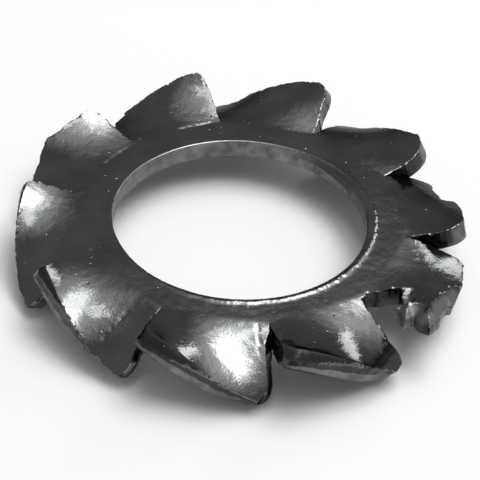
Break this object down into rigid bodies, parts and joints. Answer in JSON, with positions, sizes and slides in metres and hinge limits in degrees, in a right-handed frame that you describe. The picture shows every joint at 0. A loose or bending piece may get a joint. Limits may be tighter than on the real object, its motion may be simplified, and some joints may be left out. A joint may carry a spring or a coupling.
{
  "type": "toothed lock washer",
  "caption": "External-tooth lock washer: a flat punched steel ring whose outer teeth are each twisted out of the sheet to bite the faces that clamp it.",
  "frame": {"origin": "on the bore's axis, at half the sheet's thickness", "axes": "+Z along the bore's axis, out of the punched face, where the edges are rolled over; +X and +Y in the sheet's middle plane, with the torn teeth towards +X and -Y"},
  "size_m": [0.0149, 0.0153, 0.0026],
  "materials": {
    "blackened_steel": "blackened spring steel, glossy rolled faces, matte grey cut edges, pitted"
  },
  "bodies": {
    "root": {"lock_washer": "blackened_steel"}
  },
  "joints": []
}
